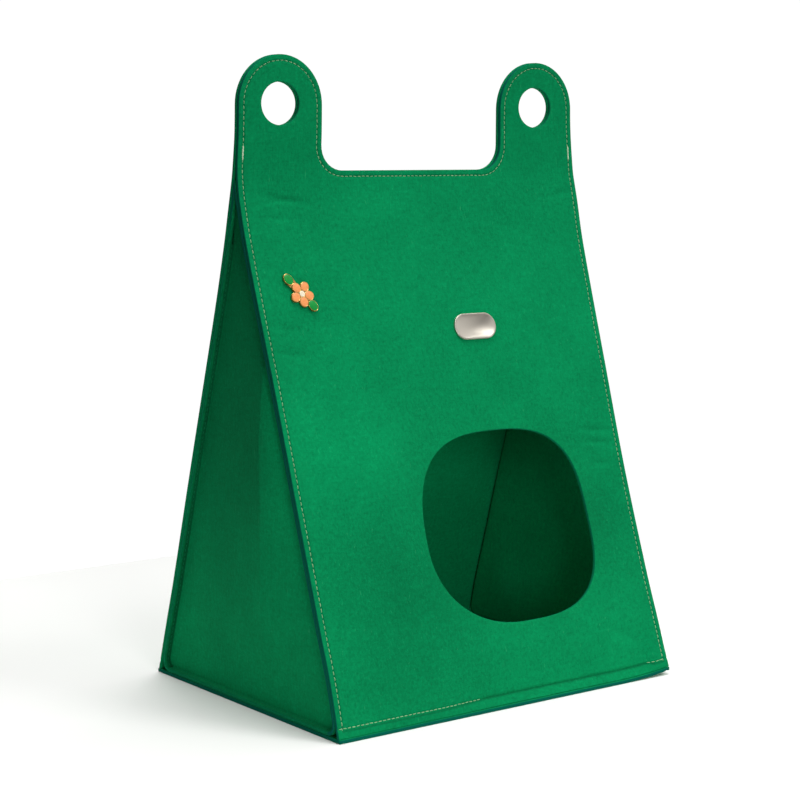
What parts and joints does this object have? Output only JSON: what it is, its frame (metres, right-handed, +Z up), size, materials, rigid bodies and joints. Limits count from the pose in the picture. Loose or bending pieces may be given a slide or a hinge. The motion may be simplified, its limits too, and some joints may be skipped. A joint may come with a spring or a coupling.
{
  "type": "cat cave",
  "caption": "Tent-shaped felt cat cave with a rounded entrance, ear-like hanging loops with punched holes, side gussets and a flat felt bottom",
  "frame": {"origin": "on the floor, under the middle of the felt bottom", "axes": "+X to the right as seen by someone facing the entrance, -Y out through the entrance, +Z up"},
  "size_m": [0.4012, 0.314, 0.6031],
  "materials": {
    "green_felt": "matt needle-punched polyester felt, emerald green",
    "satin_plate": "satin plated die-cast zinc",
    "gilt_metal": "polished gilt plating",
    "cream_enamel": "glossy soft enamel",
    "orange_enamel": "glossy soft enamel",
    "green_enamel": "glossy soft enamel"
  },
  "bodies": {
    "root": {"base_panel": "green_felt", "front_panel": "green_felt", "rear_panel": "green_felt", "left_gusset": "green_felt", "right_gusset": "green_felt", "oval_plate": "satin_plate", "pin_back": "gilt_metal", "pin_heart": "cream_enamel", "pin_petal_1": "orange_enamel", "pin_petal_2": "orange_enamel", "pin_petal_3": "orange_enamel", "pin_petal_4": "orange_enamel", "pin_petal_5": "orange_enamel", "pin_leaf_1": "green_enamel", "pin_leaf_2": "green_enamel"}
  },
  "joints": []
}
